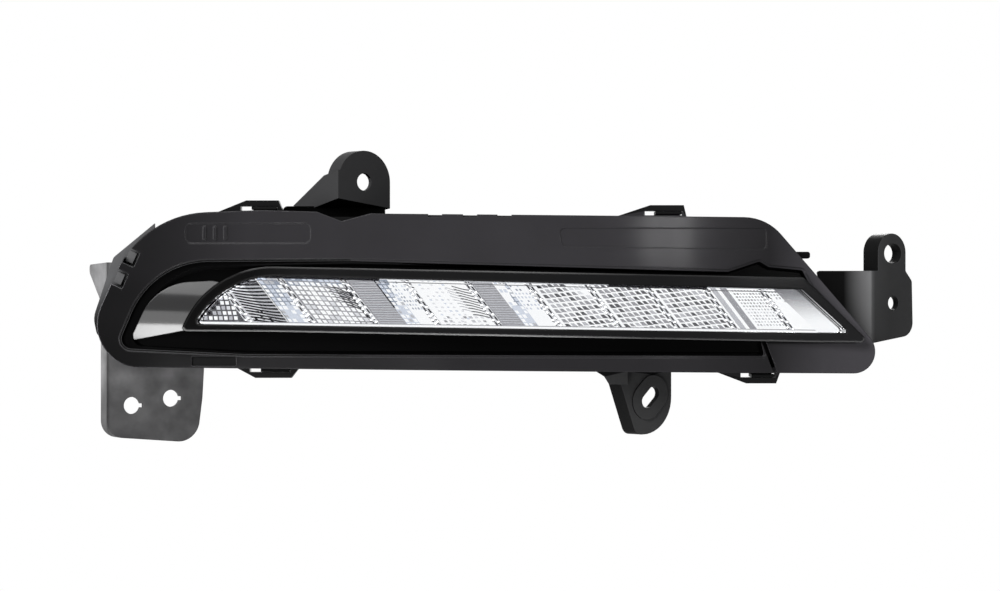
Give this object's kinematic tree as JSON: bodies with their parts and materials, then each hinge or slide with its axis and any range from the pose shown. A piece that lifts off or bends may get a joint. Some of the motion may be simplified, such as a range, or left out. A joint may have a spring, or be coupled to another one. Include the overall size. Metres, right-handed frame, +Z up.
{
  "type": "daytime running light",
  "caption": "Handed car daytime running light: slim clear lens over a scalloped reflector in a black bezel, sealed tub behind, swept mounting brackets",
  "frame": {"origin": "centre of the top ear's bolt hole, on the ear's front face", "axes": "+X along the lamp to its pointed end, -Y out of its lit face, +Z up"},
  "size_m": [0.3408, 0.074, 0.1188],
  "materials": {
    "bezel_black": "satin black moulded plastic",
    "gloss_black": "high gloss black",
    "clear_lens": "clear polycarbonate",
    "aluminised": "aluminised plastic mirror",
    "carrier_black": "fine grained black plastic",
    "bracket_black": "fine grained black plastic",
    "bracket_grey": "scuffed dark grey glass-filled plastic",
    "housing_black": "moulded black plastic",
    "seal": "soft foam rubber",
    "vent": "black rubber",
    "steel": "zinc plated",
    "light_board": "white solder mask",
    "driver_board": "green solder mask",
    "emitter": "phosphor",
    "sink": "extruded, bare",
    "electronics": "moulded dark grey",
    "lead": "insulated wire",
    "pin": "tin plated"
  },
  "bodies": {
    "root": {"bezel_frame": "bezel_black", "recess_panel": "gloss_black", "lens_surround": "gloss_black", "outer_lens": "clear_lens", "lens_seal": "seal", "reflector": "aluminised", "reflector_screws": "steel", "carrier_frame": "carrier_black", "top_ear": "bracket_black", "left_bracket": "bracket_grey", "right_bracket": "bracket_black", "bracket_screws": "steel", "rear_housing": "housing_black", "housing_seal": "seal", "housing_screws": "steel", "vent_cap": "vent", "connector_pins": "pin", "led_board": "light_board", "led_emitters": "emitter", "heat_sink": "sink", "board_screws": "steel", "driver_board": "driver_board", "driver_components": "electronics", "driver_screws": "steel", "lead_wires": "lead"}
  },
  "joints": []
}
